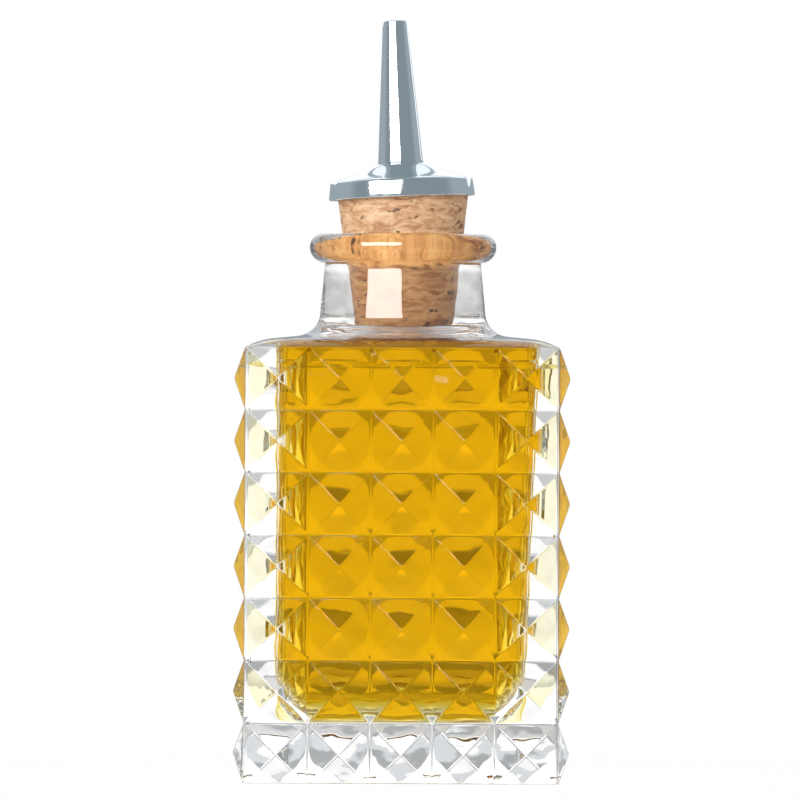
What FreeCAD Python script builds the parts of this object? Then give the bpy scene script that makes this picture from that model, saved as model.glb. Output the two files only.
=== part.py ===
"""Bitters bottle: a square clear-glass dasher bottle with pyramid studs, filled with
bitters and closed by a tapered cork that carries a chromed pourer.

Millimetres, +Z up.  The origin is the middle of the foot: the bottle stands on z = 0 with
its neck axis on Z and its four studded faces square to X and Y.  The front is the -Y face.
"""
import FreeCAD
import Part
import math
import os

# ---------------------------------------------------------------- driving dimensions
# Studded glass body
body_width = 52.2          # across two opposite faces, measured in the grooves between studs
stud_columns = 5           # pyramids across one face
stud_rows = 7              # pyramids from the shoulder down to the foot
stud_pitch = 10.4          # height of one row of pyramids
stud_height = 1.9          # how far a pyramid stands out of the grooves
corner_land = 0.2          # plain strip that breaks each upright corner
foot_trim = 0.4            # how much of the lowest row the flat foot takes away

# Shoulder: a shallow cone, rolled over at the four top edges
shoulder_slope_deg = 7.0   # fall of the cone from the neck outwards
envelope_margin = 2.0      # how far the shoulder's cutting surface runs past the studs
crown_radius = 12.0        # radius of the rolled edge, seen from the side
crown_width = 4.6          # from where the cone ends and the roll starts out to the body's face
crown_corner_radius = 2.2  # plan radius of the shoulder at the top of the walls

# Neck and lip
bore_radius = 9.75
neck_root_wall = 4.15      # glass around the bore at the foot of the neck
neck_top_wall = 3.35       # and just under the lip
neck_flare_radius = 4.0    # fillet between shoulder and neck
lip_rise = 17.0            # from the top of the stud rows up to the lip's widest ring
lip_overhang = 2.6         # how far that ring stands out from the neck
lip_upper_round = 2.2
mouth_round = 0.6          # rounded inner edge of the mouth

# Hollow inside of the glass
floor_thickness = 10.8
wall_low = 5.5             # wall just above the floor, measured in the grooves
wall_high = 4.3            # wall just below the shoulder
hollow_corner_radius = 4.4
hollow_floor_round = 3.9
ceiling_drop = 0.7         # from the top of the stud rows down to the ceiling's outer edge
ceiling_round = 3.3        # fillet between wall and ceiling
ceiling_flare_radius = 3.0 # fillet between ceiling and bore
body_sink = 4.0            # how far below the liquid level the turned neck and bore start
fillet_bite = 0.1          # how far a turned fillet runs past the surface it blends with
nearly_round = 0.99        # corner radius over half width where a lofted square ends as a circle

# Contents
level_over_rows = 0.1      # liquid level above the top of the stud rows

# Cork
cork_length = 24.8
cork_bottom_gap = 1.65     # between the bore and the cork's lower end
cork_taper = 0.127         # growth of the radius for each millimetre of height
cork_chamfer = 0.5
cork_clear_of_liquid = 2.7 # gap between the liquid and the cork's end

# Pourer: a cap pressed over the cork's head and a tapered spout on it
cap_wall = 0.5             # sheet of the skirt
cap_head_clearance = 0.25  # between the cork's head and the skirt
cap_plate = 0.9            # metal between the cork's head and the top edge of the skirt
cap_skirt_height = 3.2
cap_skirt_flare = 0.3      # the skirt opens by this much towards its lower edge
cap_edge_round = 0.6
cap_cone_rise = 2.5
spout_length = 24.2
spout_base_radius = 3.8
spout_tip_radius = 2.05
spout_bore_radius = 1.2
spout_tip_round = 0.25
spout_seat_margin = 0.35   # ring of the cap's cone left free around the spout
cork_lean_deg = 1.0        # the hand-pushed cork leans towards -X
cork_pivot_rise = 1.5      # about a point this far above the lip
pourer_tip_deg = 1.6       # the pourer is tipped a little further on the cork
pourer_pivot_drop = 6.9    # about a point this far below the cork's head

# ---------------------------------------------------------------- places worked out
half = body_width / 2
field_half = half - corner_land
stud_width = 2 * field_half / stud_columns
rows_bottom = -foot_trim
rows_top = rows_bottom + stud_rows * stud_pitch
slope = math.tan(math.radians(shoulder_slope_deg))
crown_half_width = half - crown_width
neck_root_radius = bore_radius + neck_root_wall
neck_top_radius = bore_radius + neck_top_wall
lip_radius = neck_top_radius + lip_overhang
lip_widest = rows_top + lip_rise
lip_top = lip_widest + lip_upper_round
liquid_level = rows_top + level_over_rows
cork_bottom = liquid_level + cork_clear_of_liquid
cork_top = cork_bottom + cork_length
cork_bottom_radius = bore_radius - cork_bottom_gap
cork_top_radius = cork_bottom_radius + cork_taper * cork_length
cork_pivot = lip_top + cork_pivot_rise
pourer_pivot = cork_top - pourer_pivot_drop

V = FreeCAD.Vector
ORIGIN = V(0, 0, 0)
UP = V(0, 0, 1)


# ---------------------------------------------------------------- small helpers
def on_side(side, along, out, z):
    """A point on one of the four faces: 0 front, 1 right, 2 back, 3 left."""
    return (V(along, -out, z), V(out, along, z), V(-along, out, z), V(-out, -along, z))[side]


def flat(*points):
    """A plane face through the given corners."""
    return Part.Face(Part.makePolygon(list(points) + [points[0]]))


def line(a, b):
    """A straight edge."""
    return Part.LineSegment(a, b).toShape()


def outline(points):
    """A closed run of straight edges."""
    return [line(a, b) for a, b in zip(points, points[1:] + points[:1])]


def arc(centre, radius, start_deg, mid_deg, end_deg):
    """An arc in the XZ plane; the angles are measured from +X towards +Z."""
    points = [centre + V(radius * math.cos(math.radians(a)), 0, radius * math.sin(math.radians(a)))
              for a in (start_deg, mid_deg, end_deg)]
    return Part.Arc(*points).toShape()


def turned(edges):
    """The solid of revolution of a closed outline that lies in the XZ plane."""
    return Part.Face(Part.Wire(edges)).revolve(ORIGIN, UP, 360)


def rounded_square(half_width, corner, z):
    """A horizontal square wire with rounded corners, for lofts: four lines, four arcs."""
    flat_half = half_width - corner
    edges = []
    for side in range(4):
        start = on_side(side, -flat_half, half_width, z)
        end = on_side(side, flat_half, half_width, z)
        centre = on_side(side, flat_half, flat_half, z)
        outward = on_side(side, 1, 1, 0)
        middle = centre + outward * (corner / math.sqrt(2))
        following = on_side((side + 1) % 4, -flat_half, half_width, z)
        edges += [line(start, end), Part.Arc(end, middle, following).toShape()]
    return Part.Wire(edges)


def one_solid(shape, name):
    """The single solid in a shape, or a plain message if the pieces came apart."""
    if len(shape.Solids) != 1:
        raise ValueError("%s came out as %d solids" % (name, len(shape.Solids)))
    return shape.Solids[0]


# ---------------------------------------------------------------- the glass outside
def studded_block(top):
    """The square block with its pyramids, as one closed shell of flat facets."""
    faces = []
    columns = [-field_half + stud_width * i for i in range(stud_columns + 1)]
    rows = [rows_bottom + stud_pitch * j for j in range(stud_rows + 1)]
    levels = rows + [top]
    for side in range(4):
        following = (side + 1) % 4
        for left, right in zip(columns, columns[1:]):
            for low, high in zip(rows, rows[1:]):
                apex = on_side(side, (left + right) / 2, half + stud_height, (low + high) / 2)
                ring = [on_side(side, left, half, low), on_side(side, right, half, low),
                        on_side(side, right, half, high), on_side(side, left, half, high)]
                faces += [flat(a, b, apex) for a, b in zip(ring, ring[1:] + ring[:1])]
        strip = [on_side(side, u, half, rows_top) for u in columns]
        faces.append(flat(*strip, on_side(side, field_half, half, top),
                          on_side(side, -field_half, half, top)))
        for low, high in zip(levels, levels[1:]):
            faces.append(flat(on_side(side, field_half, half, low),
                              on_side(following, -field_half, half, low),
                              on_side(following, -field_half, half, high),
                              on_side(side, field_half, half, high)))
    foot = [on_side(side, u, half, rows_bottom) for side in range(4) for u in columns]
    lid = [on_side(side, u, half, top) for side in range(4) for u in (-field_half, field_half)]
    faces += [flat(*foot), flat(*lid)]
    shell = Part.makeShell(faces)
    shell.sewShape()
    return Part.makeSolid(shell)


def crown_drop(half_width):
    """Height of the rolled shoulder edge below its start, at a given half width."""
    start = math.sin(math.radians(shoulder_slope_deg))
    turn = start + (half_width - crown_half_width) / crown_radius
    return crown_radius * (math.sqrt(1 - start ** 2) - math.sqrt(1 - turn ** 2))


def shoulder_height(half_width):
    """Height of the shoulder's surface over the middle of a face, at a half width."""
    crown_start = rows_top + crown_drop(half)
    if half_width > crown_half_width:
        return crown_start - crown_drop(half_width)
    return crown_start + (crown_half_width - half_width) * slope


def flare(wall_radius, fillet, surface, bite):
    """Fillet from a cone that falls outwards up into an upright wall.

    surface(r) is the cone's height at radius r.  The fillet's centre is one fillet
    radius off the wall and off the cone, less the bite that makes the two surfaces
    cross instead of only touching.  Gives its lower end, the arc and its upper end.
    """
    tilt = math.radians(shoulder_slope_deg)
    radius = wall_radius + fillet
    centre = V(radius, 0, surface(radius) + (fillet - bite) / math.cos(tilt))
    foot = centre - V(math.sin(tilt), 0, math.cos(tilt)) * fillet
    foot_deg = 270 - shoulder_slope_deg
    return foot, arc(centre, fillet, foot_deg, (foot_deg + 180) / 2, 180), centre - V(fillet, 0, 0)


def shoulder_envelope():
    """Everything under the shoulder's surface, wider than the studs, flat at z = 0."""
    reach = half + stud_height + envelope_margin
    round_end = neck_root_radius + neck_flare_radius
    steps = 8
    wires = []
    for width in (reach - (reach - neck_root_radius) * i / steps for i in range(steps + 1)):
        inward = min(1.0, max(0.0, (half - width) / (half - round_end)))
        square = crown_corner_radius + (min(width, round_end) - crown_corner_radius) * inward
        corner = min(square, nearly_round * width)
        wires.append(rounded_square(width, corner, shoulder_height(width)))
    dome = Part.makeLoft(wires, True, False)
    rim = shoulder_height(reach)
    block = Part.makeLoft([rounded_square(reach, crown_corner_radius, 0),
                           rounded_square(reach, crown_corner_radius, rim)], True, True)
    return block.fuse(dome)


def neck_outside():
    """Flare, neck and rolled lip, turned as one solid that reaches down into the body."""
    foot, foot_arc, root = flare(neck_root_radius, neck_flare_radius, shoulder_height, fillet_bite)
    start = V(0, 0, liquid_level - body_sink)
    under_foot = V(foot.x, 0, start.z)
    lower_round = lip_radius - neck_top_radius
    neck_top = V(neck_top_radius, 0, lip_widest - lower_round)
    lip_flat = V(lip_radius - lip_upper_round, 0, lip_top)
    axis_top = V(0, 0, lip_top)
    return turned([line(start, under_foot), line(under_foot, foot), foot_arc, line(root, neck_top),
                   arc(V(neck_top_radius, 0, lip_widest), lower_round, 270, 315, 360),
                   arc(V(lip_flat.x, 0, lip_widest), lip_upper_round, 0, 45, 90),
                   line(lip_flat, axis_top), line(axis_top, start)])


# ---------------------------------------------------------------- the hollow inside
def ceiling_height(radius):
    """Height of the cone that is the ceiling of the hollow."""
    return rows_top - ceiling_drop + (half - wall_high - radius) * slope


def hollow():
    """The inside of the glass: drafted walls, round floor edge, conical ceiling and bore."""
    peak = ceiling_height(0)
    walls = Part.makeLoft(
        [rounded_square(half - wall_low, hollow_corner_radius, floor_thickness),
         rounded_square(half - wall_high, hollow_corner_radius, peak)], True, True)
    floor_edges = [e for e in walls.Edges if e.BoundBox.ZMax < floor_thickness + 1e-3]
    walls = walls.makeFillet(min(hollow_floor_round, 0.9 * hollow_corner_radius), floor_edges)
    reach = body_width
    under_ceiling = turned(outline([V(0, 0, 0), V(reach, 0, 0), V(reach, 0, ceiling_height(reach)),
                                    V(0, 0, peak)]))
    room = walls.common(under_ceiling)
    halfway = (floor_thickness + peak) / 2
    ceiling_edges = [e for e in room.Edges if e.BoundBox.ZMin > halfway and e.BoundBox.ZMax < peak - 1e-3]
    return room.makeFillet(ceiling_round, ceiling_edges).fuse(bore())


def bore():
    """The round way through the neck, flared into the ceiling and eased at the mouth."""
    foot, foot_arc, root = flare(bore_radius, ceiling_flare_radius, ceiling_height, -fillet_bite)
    start = V(0, 0, liquid_level - body_sink)
    under_foot = V(foot.x, 0, start.z)
    round_start = V(bore_radius, 0, lip_top - mouth_round)
    round_end = V(bore_radius + mouth_round, 0, lip_top)
    axis_top = V(0, 0, lip_top)
    return turned([line(start, under_foot), line(under_foot, foot), foot_arc,
                   line(root, round_start),
                   arc(V(round_end.x, 0, round_start.z), mouth_round, 180, 135, 90),
                   line(round_end, axis_top), line(axis_top, start)])


def bottle_and_contents():
    """The glass, and the bitters that fill its hollow up to their level."""
    inside = hollow()
    wall_top = shoulder_height(neck_root_radius)
    outside = studded_block(wall_top).common(shoulder_envelope()).fuse(neck_outside())
    glass = outside.cut(inside)
    reach = body_width
    below_level = Part.makeBox(reach, reach, liquid_level, V(-reach / 2, -reach / 2, 0))
    return one_solid(glass.removeSplitter(), "bottle"), one_solid(inside.common(below_level), "bitters")


# ---------------------------------------------------------------- the stopper
def leaned(shape):
    """A piece of the stopper, tipped with the cork towards -X about the middle of the mouth."""
    shape = shape.copy()
    shape.rotate(V(0, 0, cork_pivot), V(0, 1, 0), -cork_lean_deg)
    return shape


def on_cork(shape):
    """A piece of the pourer, tipped further about a point in the cork's head."""
    shape = shape.copy()
    shape.rotate(V(0, 0, pourer_pivot), V(0, 1, 0), -pourer_tip_deg)
    return leaned(shape)


def cork(glass):
    """A tapered cork, squeezed where the mouth of the bottle grips it.

    Its head is cut level with the underside of the cap, which leans more than the cork.
    """
    overlong = cork_top + cap_head_clearance + cap_plate
    shoulder_radius = cork_bottom_radius + cork_taper * cork_chamfer
    overlong_radius = cork_bottom_radius + cork_taper * (overlong - cork_bottom)
    plug = turned(outline([V(spout_bore_radius, 0, cork_bottom),
                           V(cork_bottom_radius - cork_chamfer, 0, cork_bottom),
                           V(shoulder_radius, 0, cork_bottom + cork_chamfer),
                           V(overlong_radius, 0, overlong), V(spout_bore_radius, 0, overlong)]))
    reach = 2 * cork_top_radius
    under_cap = Part.makeCylinder(reach, 2 * cork_length, V(0, 0, cork_top - 2 * cork_length), UP)
    plug = leaned(plug).common(on_cork(under_cap))
    return one_solid(plug.cut(glass), "cork")


def cap():
    """A metal cap: a short flared skirt round the cork's head and a low cone on top."""
    plate_top = cork_top + cap_plate
    skirt_bottom = plate_top - cap_skirt_height
    head_radius = cork_top_radius + cap_head_clearance
    mouth_radius = head_radius + cap_skirt_flare
    points = [V(spout_bore_radius, 0, cork_top), V(head_radius, 0, cork_top),
              V(mouth_radius, 0, skirt_bottom), V(mouth_radius + cap_wall, 0, skirt_bottom),
              V(head_radius + cap_wall, 0, plate_top - cap_edge_round),
              V(head_radius + cap_wall - cap_edge_round, 0, plate_top),
              V(spout_base_radius + spout_seat_margin, 0, plate_top + cap_cone_rise),
              V(spout_bore_radius, 0, plate_top + cap_cone_rise)]
    return one_solid(on_cork(turned(outline(points))), "cap")


def spout():
    """The tapered dasher tube that stands on the cap."""
    foot = cork_top + cap_plate + cap_cone_rise
    tip = foot + spout_length
    points = [V(spout_bore_radius, 0, foot), V(spout_base_radius, 0, foot),
              V(spout_tip_radius, 0, tip - spout_tip_round),
              V(spout_tip_radius - spout_tip_round, 0, tip), V(spout_bore_radius, 0, tip)]
    return one_solid(on_cork(turned(outline(points))), "spout")


# ---------------------------------------------------------------- build and write
bottle_solid, bitters_solid = bottle_and_contents()
pieces = {"glass_bottle": bottle_solid, "bitters_liquid": bitters_solid,
          "cork_stopper": cork(bottle_solid), "pourer_cap": cap(), "pourer_spout": spout()}

os.makedirs("parts", exist_ok=True)
for name, shape in pieces.items():
    shape.exportStep("parts/%s.step" % name)
    box = shape.BoundBox
    print("%-15s valid %s  volume %9.1f mm3  X %.2f..%.2f  Y %.2f..%.2f  Z %.2f..%.2f" % (
        name, shape.isValid(), shape.Volume, box.XMin, box.XMax, box.YMin, box.YMax,
        box.ZMin, box.ZMax))
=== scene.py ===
# %% [markdown]
# # A studded bitters bottle
# A square bottle of clear pressed glass, with rows of little pyramids on its four faces,
# holds golden bitters.  A tapered cork closes it and carries a chromed cap with a thin spout.
#
# What makes such a thing look real is light that has gone through it: every pyramid is a
# small prism.  So the lesson spends its care on true surfaces, for the outside of the glass,
# for its hollow and for the drink, and lets the renderer do the rest.
#
# The packed model is loaded first.  It gives the real size and place of every piece.

# %% Load the frame
import math

import bmesh
import bpy
import numpy as np
from mathutils import Matrix, Vector, noise


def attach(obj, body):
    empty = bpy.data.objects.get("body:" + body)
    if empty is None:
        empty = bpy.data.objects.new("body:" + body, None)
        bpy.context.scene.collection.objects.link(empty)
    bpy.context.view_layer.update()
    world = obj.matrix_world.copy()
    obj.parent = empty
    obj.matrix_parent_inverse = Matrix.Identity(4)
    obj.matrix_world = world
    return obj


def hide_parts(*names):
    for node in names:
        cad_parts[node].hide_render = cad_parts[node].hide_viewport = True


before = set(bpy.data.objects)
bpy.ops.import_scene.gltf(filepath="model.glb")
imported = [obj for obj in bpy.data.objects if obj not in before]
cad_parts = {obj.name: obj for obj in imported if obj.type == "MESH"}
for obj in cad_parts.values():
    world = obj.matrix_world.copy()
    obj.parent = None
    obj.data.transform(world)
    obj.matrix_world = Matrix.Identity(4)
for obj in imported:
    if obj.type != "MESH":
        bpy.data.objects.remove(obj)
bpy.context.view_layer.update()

MM = 0.001
scene = bpy.context.scene
print("pieces in the frame:", ", ".join(sorted(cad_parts)))

# %% [markdown]
# ## The sizes that the looks follow
# A mould maker works from a short list of sizes, and such a list is written here, in
# millimetres.  It repeats the sizes of the packed model, so that the pieces lie where that
# model says.  Only the hollow and the drink differ.  The hollow has tighter corners, a
# rounder floor and a low fold, and leans a little; the drink stands a little lower.

# %% Sizes of the glass, the bitters and the stopper
BODY_HALF = 26.1           # from the axis out to the grooves between the pyramids
FIELD_HALF = 25.9          # half the width that the pyramids cover on one face
COLUMNS, ROWS = 5, 7
ROW_HEIGHT = 10.4
STUD_WIDTH = 2 * FIELD_HALF / COLUMNS
STUD_PROUD = 1.9
ROWS_BOTTOM = -0.4         # the foot takes the lowest 0.4 mm of the last row
ROWS_TOP = ROWS_BOTTOM + ROWS * ROW_HEIGHT

SHOULDER_SLOPE = math.radians(7.0)
CROWN_START, CROWN_RADIUS, CROWN_CORNER = 21.5, 12.0, 2.2
NECK_ROOT, NECK_TOP, NECK_FLARE = 13.9, 13.1, 4.0
LIP_RADIUS, LIP_WIDEST, LIP_ROUND = 15.7, 89.4, 2.2
LIP_TOP = LIP_WIDEST + LIP_ROUND
BORE, MOUTH_ROUND = 9.75, 0.6

FLOOR, WALL_LOW, WALL_HIGH = 10.8, 20.6, 21.9      # floor height, half widths of the hollow
HOLLOW_CORNER, FLOOR_ROUND, CEILING_ROUND, CEILING_FLARE = 2.4, 6.5, 2.2, 3.0
CEILING_EDGE = 73.1        # where ceiling and wall would meet without their round
CEILING_TURN = 83          # degrees of the round between the sloping ceiling and the wall
SEAM, SEAM_REACH, SEAM_DEPTH = 69.3, 0.45, 0.30    # a low fold in the wall
CONTACT = 72.2             # where the drink touches the glass
CLIMB, CAPILLARY = 0.9, 1.8  # its climb there, and the length that sets the curve
LEVEL = CONTACT - CLIMB

CORK_BOTTOM, CORK_TOP, CORK_END, CORK_TAPER = 75.2, 100.0, 8.1, 0.127
CORK_LEAN, POURER_LEAN, LEAN_PIVOT = math.radians(1.0), math.radians(2.6), 93.1
print("the drink stands %.1f mm above the foot" % LEVEL)

# %% [markdown]
# ## Small helpers
# The bottle, the cork and the pourer are all built of rings: each ring is a closed loop of
# points, neighbouring rings are joined by a band of four-sided faces, and a fan of triangles
# closes an end.  Other helpers turn points and faces into an object, give the points of
# circles and arcs, tip a piece for the leaning stopper, and measure a volume.

# %% Objects, rings, circles and volumes
def placed(name, data):
    """A new object."""
    thing = bpy.data.objects.new(name, data)
    scene.collection.objects.link(thing)
    return thing


def new_piece(name, points, faces, smooth=True):
    """An object whose mesh has these points, in millimetres, and these faces."""
    mesh = bpy.data.meshes.new(name)
    mesh.from_pydata([tuple(float(c) * MM for c in p) for p in points], [], faces)
    mesh.update()
    if smooth:
        mesh.shade_smooth()
    return placed(name, mesh)


def modified(piece):
    """The plain mesh that a piece's modifiers make."""
    bpy.context.view_layer.update()
    return bpy.data.meshes.new_from_object(
        piece.evaluated_get(bpy.context.evaluated_depsgraph_get()))


def bands(count, per_ring, first=0, flip=False):
    """Faces that join count rings of per_ring points, numbered from first."""
    faces = []
    for ring in range(count - 1):
        for i in range(per_ring):
            j = (i + 1) % per_ring
            a, b = first + ring * per_ring + i, first + ring * per_ring + j
            c, d = b + per_ring, a + per_ring
            faces.append((d, c, b, a) if flip else (a, b, c, d))
    return faces


def fan(ring_start, per_ring, centre, flip=False):
    """Triangles from a ring to one point in its middle."""
    faces = [(ring_start + i, ring_start + (i + 1) % per_ring, centre) for i in range(per_ring)]
    return [face[::-1] for face in faces] if flip else faces


def tipped(points, angle):
    """Points turned towards -X about the pivot of the stopper."""
    turn = Matrix.Rotation(-angle, 3, "Y")
    pivot = Vector((0, 0, LEAN_PIVOT))
    return [turn @ (Vector(p) - pivot) + pivot for p in points]


def arc(centre, radius, start, end, steps):
    """Points (radius, height) along an arc; angles in degrees from outwards to upwards."""
    angles = [math.radians(start + (end - start) * i / steps) for i in range(steps + 1)]
    return [(centre[0] + radius * math.cos(a), centre[1] + radius * math.sin(a)) for a in angles]


def circle(radius, height, count):
    """Points of a level circle round the axis."""
    angles = [2 * math.pi * i / count for i in range(count)]
    return [(radius * math.cos(a), radius * math.sin(a), height) for a in angles]


def volume_of(piece):
    """Signed volume in cubic centimetres: positive when the faces point outwards."""
    body = bmesh.new()
    body.from_mesh(piece.data)
    size = body.calc_volume(signed=True) * 1e6
    body.free()
    return size


print("helpers ready")

# %% [markdown]
# ## One pyramid stud
# Each stud is a low four-sided pyramid.  Hot glass never fills a sharp corner of the mould,
# so every ridge and groove is a little round, and those thin round lines outline the pattern.
#
# A pyramid with a Bevel modifier would do, but here the stud is a net of points whose lines
# run along the ridges and grooves.  The height of each point comes from a rounded maximum,
# so the facets stay flat and only narrow strips are curved.

# %% Heights of a rounded pyramid
EDGE_SOFT = 0.30           # half width of the rounded strips along ridges and grooves
HOLD = 0.46                # a last line just inside each flat facet keeps its shading flat


def soft(value, reach):
    """A value that bends smoothly to a level line as it nears zero."""
    return value if value > reach else (value * value + reach * reach) / (2 * reach)


def stud_height(across, up):
    """How far the stud stands out at a point given as shares of its half size."""
    reach = EDGE_SOFT / (ROW_HEIGHT / 2)
    a, b = soft(abs(across), reach), soft(abs(up), reach)
    highest = max(a, b) + max(0.0, reach - abs(a - b)) ** 2 / (4 * reach)
    rise = 1.0 - highest
    return STUD_PROUD * soft(rise, reach)


def side_marks(half_size):
    """Places of a ring's points along one side: close together near the two ridges."""
    marks = [m * min(1.0, 0.8 * half_size / HOLD) for m in (0, EDGE_SOFT / 2, EDGE_SOFT, HOLD)]
    return [-half_size + m for m in marks] + [0.0] + [half_size - m for m in marks[:0:-1]]


def quarter_turn(x, y, times):
    """A point turned by this many quarters of a circle."""
    for _ in range(times):
        x, y = -y, x
    return x, y


def one_stud():
    """Points and faces of one stud, lying flat with its tip towards +Z."""
    half = ROW_HEIGHT / 2
    rings = [EDGE_SOFT / 2, EDGE_SOFT, HOLD]
    rings += [half - m for m in (HOLD, EDGE_SOFT, EDGE_SOFT / 2, 0)]
    points = []
    for size in rings:
        for side in range(4):
            for x, y in [quarter_turn(m, -size, side) for m in side_marks(size)]:
                across, up = x / half, y / half
                points.append((across * STUD_WIDTH / 2, y, stud_height(across, up)))
    per_ring = len(points) // len(rings)
    faces = bands(len(rings), per_ring, flip=True)
    points.append((0, 0, stud_height(0, 0)))
    return points, faces + fan(0, per_ring, len(points) - 1)


stud = new_piece("stud", *one_stud())
print("one stud:", len(stud.data.vertices), "points,", len(stud.data.polygons), "faces")

# %% [markdown]
# ## The studded walls, by Geometry Nodes
# The same stud comes back 140 times, in 7 rows of 5 on each of four faces.  That is a job
# for Geometry Nodes: a grid gives the places on one face, Instance on Points puts the stud
# there, and quarter turns give the other three faces.  The sizes are named inputs of the
# tree, and it ends by making the copies real.
#
# The small class below wraps one socket of a node tree, so that sums on sockets can be
# written like sums on numbers.  It serves the materials later on as well.

# %% A wire that can be used in sums
class Wire:
    """One output socket of a node tree."""

    def __init__(self, tree, socket=None):
        self.tree, self.socket = tree, socket

    def node(self, kind, settings=None, sockets=None, out=0):
        """Add a node: first its settings, then the values or links of its sockets."""
        made = self.tree.nodes.new(kind)
        for name, value in (settings or {}).items():
            setattr(made, name, value)
        for name, value in (sockets or {}).items():
            if isinstance(value, Wire):
                self.tree.links.new(value.socket, made.inputs[name])
            else:
                made.inputs[name].default_value = value
        return Wire(self.tree, made.outputs[out] if len(made.outputs) else None)

    def other(self, out):
        """Another output of the same node."""
        return Wire(self.tree, self.socket.node.outputs[out])

    def maths(self, operation, *values):
        """A Math node on these values."""
        return self.node("ShaderNodeMath", {"operation": operation}, dict(enumerate(values)))

    def __add__(self, other):
        return self.maths("ADD", self, other)

    def __radd__(self, other):
        return self.maths("ADD", other, self)

    def __sub__(self, other):
        return self.maths("SUBTRACT", self, other)

    def __rsub__(self, other):
        return self.maths("SUBTRACT", other, self)

    def __mul__(self, other):
        return self.maths("MULTIPLY", self, other)

    def __rmul__(self, other):
        return self.maths("MULTIPLY", other, self)

    def ramp(self, low, high):
        """0 at low, 1 at high, and a smooth step in between."""
        return self.node("ShaderNodeMapRange", {"interpolation_type": "SMOOTHSTEP"},
                         {"Value": self, "From Min": low, "From Max": high})

    def blend(self, first, second):
        """A colour that goes from first to second as this value goes from 0 to 1."""
        return self.node("ShaderNodeMix", {"data_type": "RGBA"},
                         {"Factor": self, 6: first, 7: second}, out=2)

    def tinted(self, colour):
        """This colour multiplied by another."""
        return self.node("ShaderNodeMix", {"data_type": "RGBA", "blend_type": "MULTIPLY"},
                         {"Factor": 1.0, 6: self, 7: colour}, out=2)

    def into(self, node, name):
        """Link this output to a socket of a node made earlier."""
        self.tree.links.new(self.socket, node.inputs[name])


print("operators:", [name for name in vars(Wire) if name.startswith("__r")])

# %% The tree that lays out the studs
def stud_tree(material):
    """Geometry Nodes: studs on four upright faces round the axis."""
    tree = bpy.data.node_groups.new("Studded walls", "GeometryNodeTree")
    tree.interface.new_socket("Geometry", in_out="INPUT", socket_type="NodeSocketGeometry")
    for name, kind in (("Stud", "Object"), ("Columns", "Int"), ("Rows", "Int"),
                       ("Stud width", "Float"), ("Row height", "Float"),
                       ("Face distance", "Float"), ("Lowest row", "Float")):
        tree.interface.new_socket(name, in_out="INPUT", socket_type="NodeSocket" + kind)
    tree.interface.new_socket("Geometry", in_out="OUTPUT", socket_type="NodeSocketGeometry")
    bench = Wire(tree)
    inputs = bench.node("NodeGroupInput")
    columns, rows = inputs.other("Columns"), inputs.other("Rows")
    width, height = inputs.other("Stud width"), inputs.other("Row height")
    grid = bench.node("GeometryNodeMeshGrid", {}, {
        "Size X": (columns - 1) * width, "Size Y": (rows - 1) * height,
        "Vertices X": columns, "Vertices Y": rows})
    shape = bench.node("GeometryNodeObjectInfo", {"transform_space": "ORIGINAL"},
                       {"Object": inputs.other("Stud")}, out="Geometry")
    face = bench.node("GeometryNodeInstanceOnPoints", {}, {"Points": grid, "Instance": shape})
    middle = inputs.other("Lowest row") + rows * height * 0.5
    place = bench.node("ShaderNodeCombineXYZ", {},
                       {"Y": 0 - inputs.other("Face distance"), "Z": middle})
    upright = bench.node("GeometryNodeTransform", {}, {
        "Geometry": face, "Translation": place, "Rotation": (math.pi / 2, 0, 0)})
    walls = bench.node("GeometryNodeJoinGeometry")
    for quarter in range(4):
        turned = bench.node("GeometryNodeTransform", {}, {
            "Geometry": upright, "Rotation": (0, 0, quarter * math.pi / 2)})
        turned.into(walls.socket.node, 0)
    real = bench.node("GeometryNodeRealizeInstances", {}, {"Geometry": walls})
    welded = bench.node("GeometryNodeMergeByDistance", {}, {"Geometry": real, "Distance": 2e-6})
    dressed = bench.node("GeometryNodeSetMaterial", {}, {"Geometry": welded, "Material": material})
    bench.node("NodeGroupOutput", {}, {0: dressed})
    return tree


def grown(name, tree, **values):
    """The plain mesh that a tree makes from the given inputs."""
    carrier = new_piece(name + "_carrier", [], [])
    modifier = carrier.modifiers.new("Nodes", "NODES")
    modifier.node_group = tree
    sockets = {item.name: item.identifier for item in tree.interface.items_tree
               if item.in_out == "INPUT"}
    for key, value in values.items():
        modifier[sockets[key.replace("_", " ")]] = value
    mesh = modified(carrier)
    mesh.name = name
    bpy.data.objects.remove(carrier)
    return mesh


glass_material = bpy.data.materials.new("clear_glass")
walls = grown("studded_walls", stud_tree(glass_material), Stud=stud, Columns=COLUMNS, Rows=ROWS,
              Stud_width=STUD_WIDTH * MM, Row_height=ROW_HEIGHT * MM,
              Face_distance=BODY_HALF * MM, Lowest_row=ROWS_BOTTOM * MM)
bpy.data.objects.remove(stud)
print("studded walls:", len(walls.vertices), "points,", len(walls.polygons), "faces")

# %% [markdown]
# ## From the square body to the round neck
# Above the studs the bottle changes from a square to a circle: a shallow shoulder, a flare
# into the neck, and a rolled lip.  Lofting between a few curves would work, but the shoulder
# has to meet the points of the studs' top edge one by one.
#
# So every ring here has as many points as that edge.  A ring is a square with rounded
# corners, and a corner as large as the half width makes it a circle.  The same rings, run
# downwards, make the bore, the ceiling, the walls and the floor of the hollow.

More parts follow.
